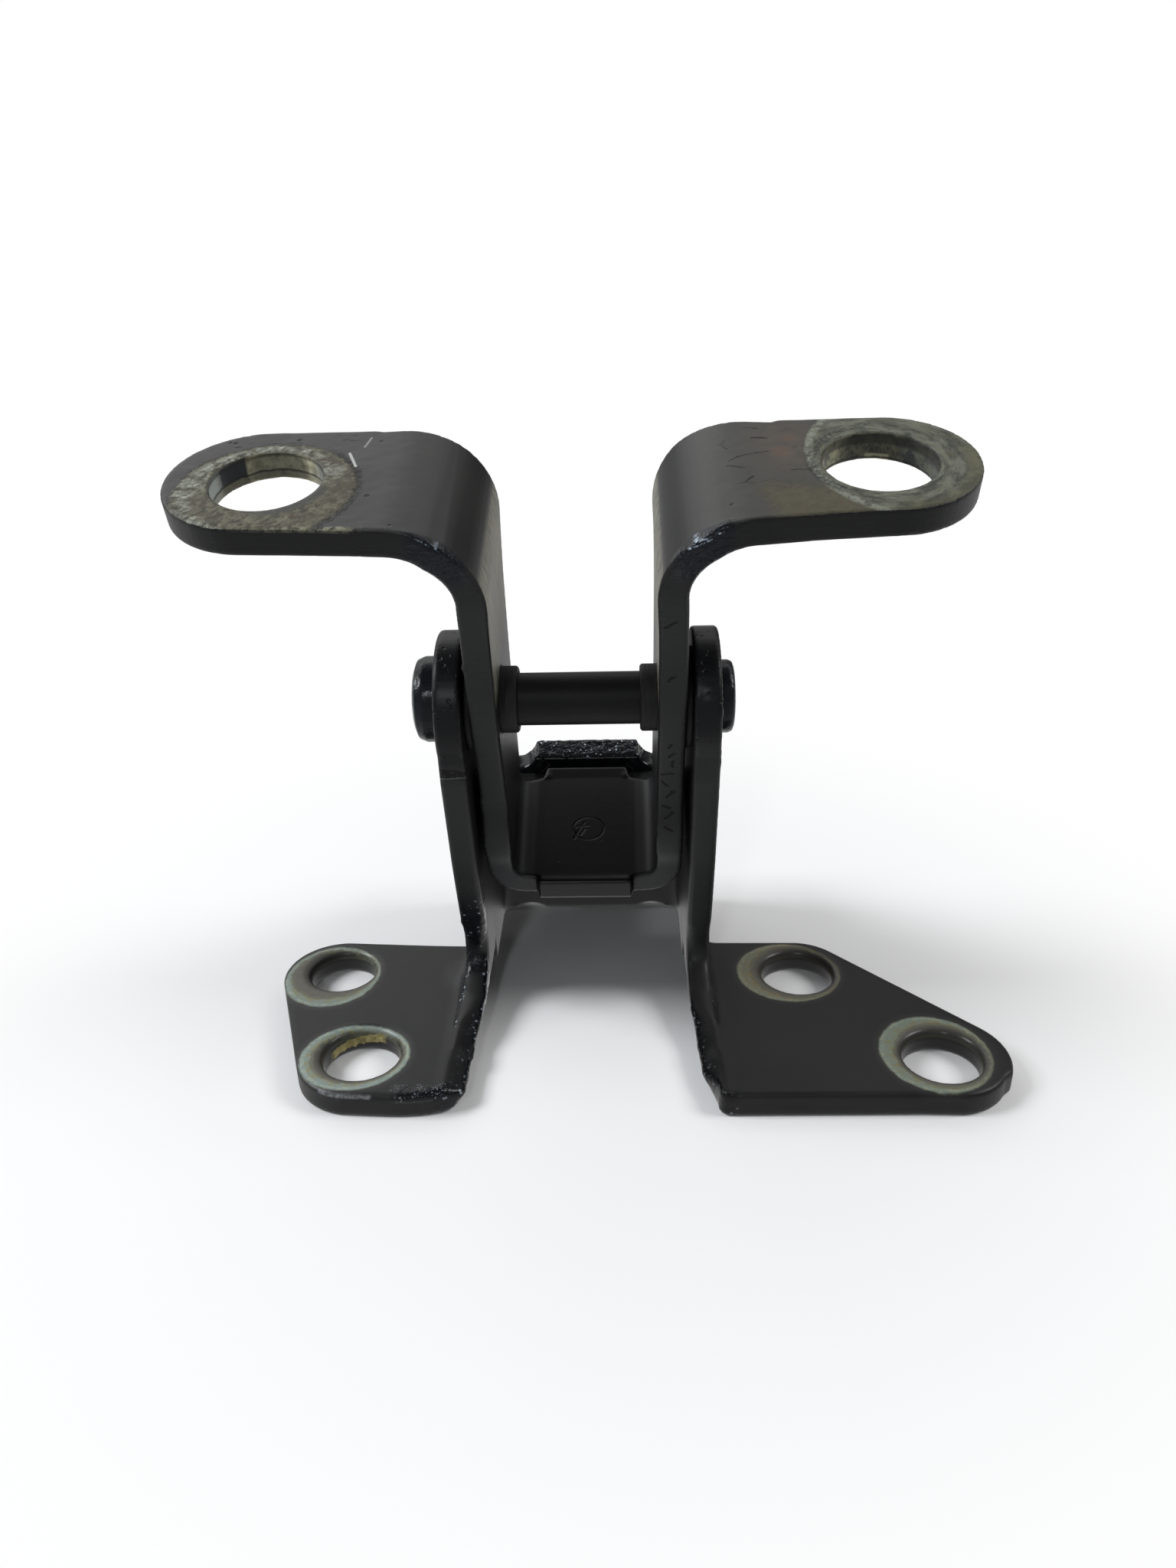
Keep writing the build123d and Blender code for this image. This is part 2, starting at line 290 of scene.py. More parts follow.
# %% [markdown]
# ## Floor, room and lamps
# The part stands on a white table. Close by, the table is a plain pale surface
# that takes the part's shadow; further off it turns to flat white for the
# camera, so that the picture's ground is white without more light on the part.
# Dark glossy paint shows its shape only through what it reflects, so the room
# matters most: the table is bright behind the part and dim in front of it,
# a light band and a window hang behind, and straight overhead it is dark.
# Two wide boxes light the part from its sides. A small one in front gives
# beads of paint and the pin's heads their points of light.

# %% Table
def grid_sheet(name, point, across, along):
    """Mesh of a surface: point(u, v) gives x, y, z arrays over a grid of parameters."""
    u, v = np.meshgrid(across, along, indexing="ij")
    points = np.stack(point(u, v), -1).reshape(-1, 3)
    n, m = len(across), len(along)
    first = (np.arange(n - 1)[:, None] * m + np.arange(m - 1)[None, :]).ravel()
    faces = np.stack((first, first + m, first + m + 1, first + 1), -1)
    mesh = bpy.data.meshes.new(name)
    mesh.from_pydata(points.tolist(), [], faces.tolist())
    made = bpy.data.objects.new(name, mesh)
    bpy.context.scene.collection.objects.link(made)
    return made


table = grid_sheet(
    "table", lambda u, v: (u, v, 0 * u - 0.0001), np.linspace(-6, 6, 13), np.linspace(-6, 6, 13)
)
paper = Finish("table_paper")
camera_ray, glossy_ray, clear_ray = paper.rays("Is Camera Ray", "Is Glossy Ray", "Is Transmission Ray")
mirrored = glossy_ray.most(clear_ray)
far = paper.apart(paper.x, paper.y, (-5.0, 0.0)).rise(50.0, 135.0)
behind = 0.30 + paper.y.rise(-100.0, 10.0) * 0.50
pale = paper.node("ShaderNodeBsdfDiffuse", {}, {"Color": (0.88, 0.88, 0.88, 1.0)})
white = paper.node(
    "ShaderNodeEmission", {},
    {"Color": (1.0, 1.0, 1.0, 1.0), "Strength": paper.blend(mirrored, 1.0, behind)},
)
both = paper.node("ShaderNodeMixShader", {}, {0: (camera_ray * far).most(mirrored), 1: pale, 2: white})
paper.node("ShaderNodeOutputMaterial", {}, {"Surface": both}, None)
table.data.materials.append(paper.material)
print("table", len(table.data.polygons), "faces")

# %% Room
room = bpy.data.worlds.new("room")
sky = Nodes(room)
side, depth, climb = sky.parts(sky.node("ShaderNodeTexCoord", {}, {}, "Generated"))
back = depth.rise(-0.2, 0.4)
band = sky.area((climb, 0.60, 0.72), (climb, 0.86, 0.76))
window = sky.area((side, -0.02, -0.18), (climb, 0.30, 0.48), (climb, 0.76, 0.62))
dim = sky.area((side, 0.0, 0.3), (climb, 0.6, 0.4))
dark = sky.area((side, 0.1, 0.4), (climb, 0.5, 0.3))
glow = 0.17 + back * (0.25 - dim * 0.25 + band * 0.82 + window * 0.95)
glow = glow * climb.rise(0.95, 0.80).most(0.30) * (1 - dark * 0.45)
shown = sky.node(
    "ShaderNodeBackground", {},
    {"Color": (1.0, 1.0, 1.0, 1.0), "Strength": glow.most(sky.rays("Is Camera Ray")[0])},
)
sky.node("ShaderNodeOutputWorld", {}, {"Surface": shown}, None)
bpy.context.scene.world = room
bpy.context.scene.view_settings.view_transform = "Standard"
print("room:", len(sky.tree.nodes), "nodes")


# %% Lamps
def soft_box(name, place, target, size, power, colour=(1.0, 1.0, 1.0)):
    """Square soft lamp at a place, in metres, aimed at a target."""
    lamp = bpy.data.lights.new(name, "AREA")
    lamp.size = size
    lamp.energy = power
    lamp.color = colour
    made = bpy.data.objects.new(name, lamp)
    made.location = place
    made.rotation_euler = (Vector(target) - Vector(place)).to_track_quat("-Z", "Y").to_euler()
    bpy.context.scene.collection.objects.link(made)


soft_box("left_box", (-0.85, -0.05, 0.75), (0.0, 0.0, 0.05), 0.40, 9.0, (0.94, 0.97, 1.0))
soft_box("right_box", (0.85, -0.05, 0.75), (0.0, 0.0, 0.05), 0.40, 5.0)
soft_box("front_box", (-0.16, -0.85, 0.60), (0.0, 0.0, 0.04), 0.07, 0.9, (0.92, 0.96, 1.0))

# %% [markdown]
# ## Soft edges and paint that ran
# A stamped and painted sheet has no sharp edge: the press rolls it and the
# paint rounds it again. A bevel on each edge would trip over the many small
# faces of a solid, so each part is wrapped instead: a copy of the solid is sunk
# by the roll of its edges, and a fine skin is laid at that distance round it.
# The skin then carries real relief, such as beads where the paint ran, as
# heights along its normals.

# %% Wrap a solid in a soft skin
def read(items, name, kind=np.float32, width=3):
    """One property of every item, as rows of an array."""
    values = np.empty(len(items) * width, kind)
    items.foreach_get(name, values)
    return values.reshape(-1, width)


def closed(node):
    """Object with a node's mesh, its doubled vertices merged, so that it encloses its volume."""
    core = bmesh.new()
    core.from_mesh(nodes[node].data)
    bmesh.ops.remove_doubles(core, verts=core.verts, dist=1e-6)
    mesh = bpy.data.meshes.new(node + "_closed")
    core.to_mesh(mesh)
    core.free()
    made = bpy.data.objects.new(node + "_closed", mesh)
    bpy.context.scene.collection.objects.link(made)
    return made


def sink(mesh, depth):
    """Move every vertex inwards until each face lies depth deeper.

    Along its own normal n a vertex has to travel depth / mean(n . m), where m
    are the normals of the faces that meet in it.
    """
    corners = read(mesh.loops, "vertex_index", np.int32, 1)[:, 0]
    sides = read(mesh.polygons, "loop_total", np.int32, 1)[:, 0]
    faces = np.repeat(read(mesh.polygons, "normal"), sides, 0)
    normals = read(mesh.vertex_normals, "vector")
    lean = np.bincount(corners, (faces * normals[corners]).sum(1)) / np.bincount(corners)
    points = read(mesh.vertices, "co") - normals * (depth / np.maximum(lean, 0.4))[:, None]
    mesh.vertices.foreach_set("co", points.astype(np.float32).ravel())
    mesh.update()


def wrap(node, cell, roll):
    """Mesh of a node with its outer edges rolled.

    A skin of cells is set at distance roll from the sunk solid: that puts it on
    the faces themselves, and on a round of that radius about each outer edge.
    """
    solid, core = closed(node), closed(node)
    sink(core.data, roll)
    skin = solid.modifiers.new("cells", "REMESH")
    skin.mode = "VOXEL"
    skin.voxel_size = cell
    fit = solid.modifiers.new("rolled", "SHRINKWRAP")
    fit.target = core
    fit.wrap_method = "NEAREST_SURFACEPOINT"
    fit.wrap_mode = "ON_SURFACE"
    fit.offset = roll
    ready = solid.evaluated_get(bpy.context.evaluated_depsgraph_get())
    mesh = bpy.data.meshes.new_from_object(ready)
    for spare in (solid, core):
        bpy.data.meshes.remove(spare.data)
    return mesh


def soften(mesh, weight, rounds):
    """Move points towards the middle of their neighbours, half way at most, by weight(points)."""
    edges = read(mesh.edges, "vertices", np.int32, 2)
    ends, others = np.concatenate((edges, edges[:, ::-1])).T
    count = np.bincount(ends)
    points = read(mesh.vertices, "co").astype(float)
    share = 0.5 * weight(points / MM)[:, None]
    for _ in range(rounds):
        middle = np.stack([np.bincount(ends, points[others, k]) / count for k in range(3)], -1)
        points += share * (middle - points)
    mesh.vertices.foreach_set("co", points.astype(np.float32).ravel())
    mesh.update()


def dress(node, cell, roll, relief=None, weight=None):
    """Skin in place of a node, softened by weight and raised by relief, in millimetres."""
    mesh = wrap(node, cell * MM, roll * MM)
    mesh.name = node + "_skin"
    if weight:
        soften(mesh, weight, rounds=14)
    points = read(mesh.vertices, "co")
    if relief:
        normals = read(mesh.vertex_normals, "vector")
        points += normals * relief(points / MM, normals)[:, None] * MM
    solid = read(nodes[node].data.vertices, "co")
    points = np.clip(points, solid.min(0), solid.max(0))
    mesh.vertices.foreach_set("co", points.astype(np.float32).ravel())
    mesh.polygons.foreach_set("use_smooth", np.ones(len(mesh.polygons), bool))
    mesh.materials.clear()
    mesh.update()
    piece = bpy.data.objects.new(node + "_skin", mesh)
    bpy.context.scene.collection.objects.link(piece)
    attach(piece, nodes[node]["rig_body"])
    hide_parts(node)
    print(piece.name, len(mesh.polygons), "faces")
    return piece


# %% Relief of the paint
def step(value, low, high):
    """Smooth 0 to 1 as value goes from low to high; high may be the smaller."""
    t = np.clip((value - low) / (high - low), 0, 1)
    return t * t * (3 - 2 * t)


def waves(points, length, seed, count=40):
    """Uneven surface about 0: the sum of many sine waves in random directions."""
    rng = np.random.default_rng(seed)
    way = rng.normal(size=(count, 3))
    way /= np.linalg.norm(way, axis=1)[:, None]
    pitch = 2 * np.pi / (length * rng.uniform(0.7, 1.5, count))
    start = rng.uniform(0, 2 * np.pi, count)
    return np.sin(points @ (way * pitch[:, None]).T + start).mean(1) * 2.2


def drops(points, where, count, size, seed):
    """Beads at random surface points of a region: the highest of many round bells."""
    rng = np.random.default_rng(seed)
    inside = np.flatnonzero(where > 0.5)
    middles = points[rng.choice(inside, count)]
    width = rng.uniform(0.6, 1.3, count) * size
    far = ((points[inside, None, :] - middles[None]) ** 2).sum(-1)
    height = np.zeros(len(points))
    height[inside] = (np.exp(-far / (2 * width**2)) * width / size).max(1) * where[inside]
    return height


def bends(p):
    """1 on the sides of both foot bends, where the press left no sharp corner."""
    x, y, z = p.T
    left = step(x, -20.6, -21.0) * step(x, -28.6, -27.6)
    right = step(x, 9.6, 10.2) * step(x, 17.8, 16.8)
    return np.maximum(left, right) * step(y, 0.5, -1.0) * step(z, 17.0, 12.0) * step(z, 0.5, 1.2)


def body_relief(p, n):
    """Paint beads on the left ear and both bends, pimples on the left lip, the torn web edge.

    Each region is a product of steps in x, y, z (mm) and in the way the surface faces.
    """
    x, y, z = p.T
    steep = step(n[:, 2], 0.93, 0.75)
    ear = steep * step(x, -20.5, -21.0) * step(x, -28.0, -27.0) * step(y, -1.0, -1.5)
    ear = ear * step(z, 24.0, 16.0) * step(z, 0.7, 1.5) * step(y, -30.0, -28.6)
    bend = steep * step(x, 11.0, 11.6) * step(x, 17.0, 16.0) * step(y, -8.0, -12.0)
    bend = bend * step(y, -30.2, -29.0) * step(z, 0.7, 1.5)
    lip = step(y, -28.0, -28.6) * step(z, 2.4, 3.0) * step(x, -34.0, -33.0) * step(x, -26.0, -27.0)
    torn = step(z, 30.3, 31.0) * step(y, 20.4, 21.0) * step(np.abs(x - PIN.x), 13.0, 12.2)
    beads = drops(p, ear, 60, 0.5, 3) * 0.13 + drops(p, bend, 16, 0.5, 9) * 0.12
    pimples = drops(p, lip, 70, 0.28, 5) * 0.07
    return beads + pimples + ear * waves(p, 3.0, 11) * 0.07 + torn * waves(p, 1.6, 13) * 0.13


def door_relief(p, n):
    """Shallow dents of the worn flanges, on their upper faces only."""
    upper = step(n[:, 2], 0.80, 0.92) * step(p[:, 2], 77.0, 80.0)
    return upper * (waves(p, 2.2, 19) * 0.025 + waves(p, 8.0, 17) * 0.03 - 0.03)


skins = {
    # each node's slot, then the skin's cell and the roll of its edges in millimetres
    "outer_bracket": dress("outer_bracket", 0.46, 0.45, body_relief, bends),
    "inner_bracket": dress("inner_bracket", 0.42, 0.45, door_relief),
    "hinge_pin": dress("hinge_pin", 0.26, 0.30),
    "left_bush": dress("left_bush", 0.22, 0.20),
    "right_bush": dress("right_bush", 0.22, 0.20),
}

# %% [markdown]
# ## Black paint
# Both brackets were painted after they were riveted together. The paint is
# satin black, very slightly brown where it is thin, with a faint orange-peel
# surface and a few dust specks. One function gives its colour, roughness and
# height, and each bracket's finish then adds its own wear.

# %% Paint
def scaled(tone, *shares):
    """Tone with each channel multiplied; one share serves all three."""
    return tuple(c * k for c, k in zip(tone, shares if len(shares) == 3 else shares * 3))


def black_paint(finish, shade):
    """Colour, roughness and height of satin black paint.

    Cloudy noise moves the colour and roughness, orange peel and a fine grain
    move the height, and scattered cells leave a few raised specks.
    """
    cloud = finish.noise(0.07, 3.0)
    fine = finish.noise(2.2, 3.0, 0.6)
    low = scaled((0.0095, 0.0097, 0.0103), shade)
    high = scaled((0.0150, 0.0148, 0.0142), shade)
    colour = finish.mix(cloud.rise(0.35, 0.68), low, high)
    specks = finish.cells(0.45).rise(0.12, 0.05) * finish.noise(0.16, 1.0).rise(0.52, 0.60)
    roughness = 0.34 + cloud * 0.10 + fine * 0.08
    height = finish.noise(0.8, 2.0) * 0.012 + fine * 0.004 + specks * 0.02
    return colour, roughness, height


print("paint ready")

# %% [markdown]
# ## Body bracket: bolt marks on the feet
# Each foot bolt had a wide flange under its head. Turning it wore the paint
# down to pale blue-green primer and, nearer the hole, to a brown-grey burnish.
# The bolt was never quite in the middle of its hole, so the outer circle and
# the inner circle have different centres, which leaves a crescent.

# %% Bolt marks
HOLES = {
    # the hole's centre and radius; the primer's outer and inner edge, each by
    # the centre and half widths of an ellipse; the primer's tone
    "rear_left": (
        (-48.45, 1.95), 5.45, ((-49.8, 0.0), (8.2, 9.05)), ((-49.6, 0.7), (7.4, 7.5)),
        (0.195, 0.236, 0.208),
    ),
    "front_left": (
        (-40.75, -20.85), 5.9, ((-41.6, -21.9), (8.7, 8.1)), ((-41.1, -21.7), (7.4, 6.8)),
        (0.200, 0.245, 0.222),
    ),
    "rear_right": (
        (30.55, 0.45), 5.9, ((28.95, 0.0), (8.85, 8.65)), ((30.1, 0.1), (7.6, 7.9)),
        (0.170, 0.176, 0.126),
    ),
    "front_right": (
        (49.65, -22.25), 5.9, ((48.55, -22.1), (8.6, 9.3)), ((49.6, -22.5), (7.3, 7.8)),
        (0.158, 0.185, 0.148),
    ),
}


def past_ellipse(finish, centre, widths):
    """How far a point lies outside an ellipse, measured along its own width across."""
    dx = finish.x - centre[0]
    dy = (finish.y - centre[1]) * (widths[0] / widths[1])
    return (dx * dx + dy * dy).root() - widths[0]


body = Finish("body_bracket_paint")
colour, roughness, height = black_paint(body, 1.1)
blot = body.noise(1.1, 4.0, 0.65)
grain = body.noise(5.0, 3.0, 0.7)
ragged = (body.noise(0.7, 4.0, 0.65) - 0.5) * 1.6
flat = body.z.rise(2.3, 3.1)
primed = 0.0
for hole, radius, outside, inside, tone in HOLES.values():
    outer = past_ellipse(body, *outside) + ragged * 0.35
    inner = past_ellipse(body, *inside) + ragged * 0.9
    rim = body.apart(body.x, body.y, hole) - radius
    halo = outer.rise(1.3, 0.0) * flat
    primer = outer.rise(0.15, -0.35) * flat
    primed = primer.most(primed)
    stain = (blot + inner.rise(1.0, -0.2) * 0.12).rise(0.46, 0.68)
    crisp = (outer + 0.55).size().rise(0.5, 0.1) * primer * blot.rise(0.40, 0.60)
    brown_line = (inner + 0.1).size().rise(0.35, 0.05) * primer
    burnish = inner.rise(0.10, -0.60) * primer
    bare = body.mix(
        rim.rise(0.2, 2.0) * (0.6 + blot * 0.6), (0.046, 0.044, 0.039), (0.122, 0.116, 0.094)
    )
    colour = body.mix(halo * 0.30, colour, (0.060, 0.064, 0.054))
    colour = body.mix(primer, colour, body.mix(stain, tone, scaled(tone, 1.08, 0.88, 0.58)))
    colour = body.mix(grain.rise(0.54, 0.68) * primer * 0.45, colour, scaled(tone, 0.55))
    colour = body.mix(crisp * 0.6, colour, scaled(tone, 1.55))
    colour = body.mix(brown_line * 0.45, colour, (0.080, 0.066, 0.044))
    colour = body.mix(burnish, colour, bare)
    # painted shade: the paint is darkened where the rim rolls down into the hole
    colour = body.mix(rim.rise(0.8, 0.0) * flat * 0.5, colour, (0.026, 0.025, 0.023))
    roughness = body.blend(primer, roughness, 0.46 + grain * 0.10)
    roughness = body.blend(rim.rise(1.4, 0.4) * flat, roughness, 0.30)
    height = height - primer * 0.02 - burnish * 0.02 + primer * grain * 0.004
print("bolt marks", list(HOLES))

# %% [markdown]
# ## Body bracket: yellow primer and paint that ran
# The front left hole shows yellow primer where a thread tore the paint off its
# wall. Paint gathered in glossy runs on the left ear's cut edge and on both
# bends and in pimples on the left foot's front lip, and the foot beside the ear
# is made darker and glossier. Its beads are so small that their points of light
# are painted as specks, and a painted highlight runs along the left foot's front edge.

# %% Yellow primer and runs
front_left = HOLES["front_left"][0]
wall = body.area((body.apart(body.x, body.y, front_left), 7.5, 6.6), (body.y, -19.5, -18.0))
rising = body.z - 1.3 - (body.x + 46.3) * 0.13 + (blot - 0.5) * 1.5
patch = wall * body.area((rising.size(), 0.8, 0.62), (body.x, -46.6, -45.8), (body.x, -37.6, -38.8))
yellow = body.mix(blot.rise(0.35, 0.65), (0.20, 0.165, 0.060), (0.42, 0.36, 0.165))
colour = body.mix(patch, colour, yellow)
roughness = body.blend(patch, roughness, 0.7)

facing = body.parts(body.node("ShaderNodeTexCoord", {}, {}, "Normal"))
fronts = body.area((facing[1], -0.75, -0.90), (body.z, 6.0, 10.0))
colour = body.mix(fronts * 0.5, colour, (0.023, 0.0245, 0.0255))
ear_side = body.area(
    (body.x, -20.4, -21.0), (body.x, -28.6, -27.6), (body.y, -1.0, -1.5), (body.z, 26.0, 16.0)
)
bend_side = body.area(
    (body.x, 10.8, 11.4), (body.x, 18.0, 16.5), (body.z, 16.0, 9.0), (body.y, -7.0, -11.0)
)
lip = body.area(
    (body.y, -28.2, -28.8), (body.z, 2.6, 3.0), (body.x, -35.0, -33.0), (body.x, -25.0, -26.5)
)
runs = (ear_side.most(bend_side) * facing[2].rise(0.95, 0.80)).most(lip)
# painted glints: bright specks drawn on the runs, smaller and denser on the left lip
glints = body.area((body.cells(0.95), 0.28, 0.14), (body.noise(0.55, 2.0), 0.46, 0.54))
pimples = body.area((body.cells(2.6), 0.38, 0.16), (body.noise(0.6, 2.0), 0.46, 0.56))
glints = body.blend(lip, glints, pimples * 0.8)
# painted highlight: a pale streak along the left foot's rounded front edge, broken by noise
painted_lip_highlight = body.streak(body.x, body.z + ragged * 0.15, (-45.4, 3.60), (-37.6, 3.50)).rise(0.46, 0.05)
painted_lip_highlight = painted_lip_highlight * body.area((body.y, -28.8, -29.6), (blot + grain * 0.3, 0.40, 0.85))
# the left foot beside the ear is made darker and glossier here
dark_patch_by_ear = body.apart(body.x, body.y * 0.6, (-27.8, 0.0)) + ragged * 1.4
dark_patch_by_ear = dark_patch_by_ear.rise(4.2, 0.8) * flat
height = height + runs * (body.noise(1.4, 3.0, 0.6) * 0.14 + body.noise(3.6, 1.0) * 0.030)
roughness = body.blend(runs, roughness, 0.16)
roughness = body.blend(dark_patch_by_ear, roughness, 0.24)
colour = body.mix(runs.most(dark_patch_by_ear), colour, (0.0062, 0.0068, 0.0085))
colour = body.mix(glints * runs, colour, (0.26, 0.30, 0.35))
colour = body.mix(painted_lip_highlight, colour, (0.20, 0.21, 0.22))
print("runs ready")

# %% [markdown]
# ## Body bracket: the sheared edge, the ear tops and a chip
# The web's upper edge was sheared, so it is coarse; its points of light are
# painted as bright specks. The ears' round tops, under the flanges, are darkened
# as painted shade, and their paint holds a few pits. Where the left ear changes
# its slope, the paint has chipped.

# %% Sheared edge, ear tops and chips
web = body.area(
    (body.z, 30.2, 30.9), (body.y, 20.6, 21.2), ((body.x - PIN.x).size(), 13.0, 12.2)
)
sheared = web * body.z.rise(33.5, 34.0)
torn = body.noise(0.95, 2.0, 0.55) + body.noise(2.4, 1.0, 0.5) * 0.30
# painted glints: bright specks on the sheared face
points = body.area((body.cells(1.45), 0.32, 0.18), (body.noise(0.7, 2.0), 0.50, 0.60))
points = (points + grain.rise(0.60, 0.74) * 0.3).least(1.0)
height = height + sheared * torn * 0.34
roughness = body.blend(web, roughness, 0.14)
colour = body.mix(web, colour, (0.0040, 0.0050, 0.0065))
colour = body.mix(sheared * points, colour, (0.42, 0.49, 0.56))

# painted shade: the ears' round tops under the flanges are darkened, and they hold a few pits
shaded_ear_tops = body.area((body.z, 48.0, 50.5), ((body.x - PIN.x).size(), 13.5, 14.5))
shaded_ear_tops = shaded_ear_tops * (1 - body.area((body.x, 0.0, 1.0), (body.z, 55.0, 50.0))) * 0.85
pits = shaded_ear_tops * body.area((body.cells(0.8), 0.30, 0.12), (body.noise(0.35, 2.0), 0.48, 0.56))
colour = body.mix(shaded_ear_tops, colour, (0.0042, 0.0047, 0.0062))
roughness = body.blend(shaded_ear_tops, roughness, 0.36)
colour = body.mix(pits, colour, (0.0020, 0.0020, 0.0024))
height = height - pits * 0.09

# painted shade: the right foot's top, outside the bolt marks, is darkened as if in the hinge's shadow
right_foot_shade = body.area((body.x, 5.0, 12.0), (body.z, 5.0, 4.2)) * (1 - primed)
colour = body.mix(right_foot_shade * 0.5, colour, (0.0035, 0.0035, 0.0035))
front = body.area((body.y, -9.0, -10.5), (body.z, 40.0, 44.0))
chip = body.streak(body.x, body.z + ragged * 0.35, (-26.2, 48.0), (-22.9, 47.6))
chip = body.area((chip, 0.95, 0.60), (body.noise(1.2, 3.0, 0.7), 0.38, 0.46)) * front
kink = body.streak(body.x, body.z + ragged * 0.12, (-26.4, 46.9), (-22.2, 47.1))
kink = kink.rise(0.16, 0.06) * front
knocks = body.area(
    (body.cells(0.28, "DISTANCE_TO_EDGE"), 0.030, 0.008), (body.noise(0.22, 2.0), 0.53, 0.60),
    (body.x, 8.0, 12.0), (body.z, 44.0, 50.0),
)
colour = body.mix(chip.most(knocks), colour, (0.0035, 0.0035, 0.0040))
colour = body.mix(kink * 0.8, colour, (0.085, 0.085, 0.082))
height = height - chip * 0.08 - knocks * 0.06 + kink * 0.05
body.surface(colour, roughness, height, 0.30)
skins["outer_bracket"].data.materials.append(body.material)
print("body bracket finish:", len(body.tree.nodes), "nodes")

# %% [markdown]
# ## Door bracket: worn flanges
# The door hung on these two flanges. Their bolts and shims rubbed the paint
# away over a wide ring, down to mottled olive and pale grey metal, with dark
# pits where old paint still sticks. The strip stands turned about the pin, so
# its own square positions come first.

# %% Positions square to the strip
door = Finish("door_bracket_paint")
across = door.x - PIN.x
dy = door.y - PIN.y
dz = door.z - PIN.z
along = dy * cos(TURN) + dz * sin(TURN)
above = dz * cos(TURN) - dy * sin(TURN)
square = door.vector(across, along, above)
facing = door.parts(door.node("ShaderNodeTexCoord", {}, {}, "Normal"))
cut = (facing[1] * cos(TURN) + facing[2] * sin(TURN)).size().rise(0.75, 0.9)
upward = facing[2] * cos(TURN) - facing[1] * sin(TURN)
up = upward.rise(0.6, 0.95)
top = (upward + (door.noise(1.2, 3.0, 0.6, square) - 0.5) * 0.8).rise(0.45, 0.6)
print("strip positions ready")

# %% Worn rings round the flange holes
colour, roughness, height = black_paint(door, 1.0)
# the flanges' upper faces are painted lighter grey, partly dust and partly a painted sheen of the
# light from above, warmer towards the right
plate = above.rise(20.0, 33.0) * up
dust = door.noise(0.25, 4.0, 0.6)
grey_dust_and_sheen = door.mix(dust, (0.034, 0.034, 0.034), (0.048, 0.047, 0.045))
warm_dust_and_sheen = door.mix(dust, (0.036, 0.036, 0.032), (0.058, 0.055, 0.047))
colour = door.mix(plate, colour, door.mix(across.rise(8.0, 30.0), grey_dust_and_sheen, warm_dust_and_sheen))
roughness = door.blend(plate, roughness, 0.42)
blot = door.noise(0.42, 5.0, 0.68, square)
grit = door.noise(2.3, 4.0, 0.7, square)
flecks = door.noise(0.95, 4.0, 0.7, square)
slant = door.noise(
    0.8, 4.0, 0.7, door.vector((across - along) * 1.15, (across + along) * 0.70, above)
)
ragged = (flecks - 0.5) * 2.2
from_left, from_right = (door.apart(across, along, hole) for hole in FLANGE_HOLES)
right_side = across.rise(-1.0, 1.0)
face = above.rise(33.0, 35.2) * top
left = (1 - right_side) * face
right = right_side * face

# %% Left flange
rub = door.apart(across, along, (-40.2, 0.6)) + ragged
left_worn = rub.rise(12.6, 12.0) * left
rusty = door.area(
    (door.cells(0.55, "F1", square), 0.34, 0.16), (door.noise(0.3, 2.0, 0.5, square), 0.48, 0.56)
)
brown = door.area((across, -35.0, -31.0), (blot, 0.40, 0.60))
olive = door.mix(slant.rise(0.36, 0.62), (0.042, 0.038, 0.024), (0.172, 0.164, 0.108))
olive = door.mix(blot.rise(0.46, 0.62) * 0.6, olive, (0.066, 0.058, 0.037))
olive = door.mix(grit.rise(0.55, 0.68) * 0.8, olive, (0.034, 0.028, 0.020))
olive = door.mix(flecks.rise(0.58, 0.70) * 0.45, olive, (0.230, 0.218, 0.145))
olive = door.mix(rusty * 0.7, olive, (0.070, 0.045, 0.024))
olive = door.mix(brown * 0.6, olive, (0.078, 0.064, 0.040))
pale = door.mix(flecks.rise(0.35, 0.65), (0.15, 0.16, 0.13), (0.38, 0.40, 0.34))
outline = door.area(((rub - 10.8).size(), 1.5, 0.3), (across, -33.0, -42.0))
rim_light = door.area(((from_left - 8.6).size(), 0.9, 0.25), (along - across * 0.25, 10.0, 16.0))
tip = door.apart(across, along * 0.8, (-51.3, 1.2)).rise(3.0, 1.2)
spill = door.apart(across, along, (-32.6, 5.0)).rise(3.2, 0.8)
bright = outline.most(rim_light).most(tip).most(spill * 0.8)
bright = bright * (slant * 0.7 + blot * 0.7).rise(0.58, 0.86)
shaded = door.area(
    (from_left - 8.4, 1.3, 0.3), (along + across * 0.35, -8.5, -11.5), (across, -44.0, -38.0)
)
crust = door.area(((rub - 12.4).size(), 0.8, 0.2), (across, -34.0, -31.0), (slant, 0.40, 0.50))
lit_edge = door.area(
    (along, -8.4, -8.9), (across, -25.0, -29.0), (above, 35.2, 35.5), (flecks + slant, 0.85, 1.10)
)
colour = door.mix(left_worn * (0.62 + blot * 0.38), colour, olive)
colour = door.mix(bright * left_worn, colour, pale)
colour = door.mix(shaded * left * 0.85, colour, (0.050, 0.052, 0.048))
colour = door.mix(lit_edge * 0.8, colour, (0.300, 0.285, 0.200))
colour = door.mix(crust * left, colour, (0.008, 0.008, 0.007))

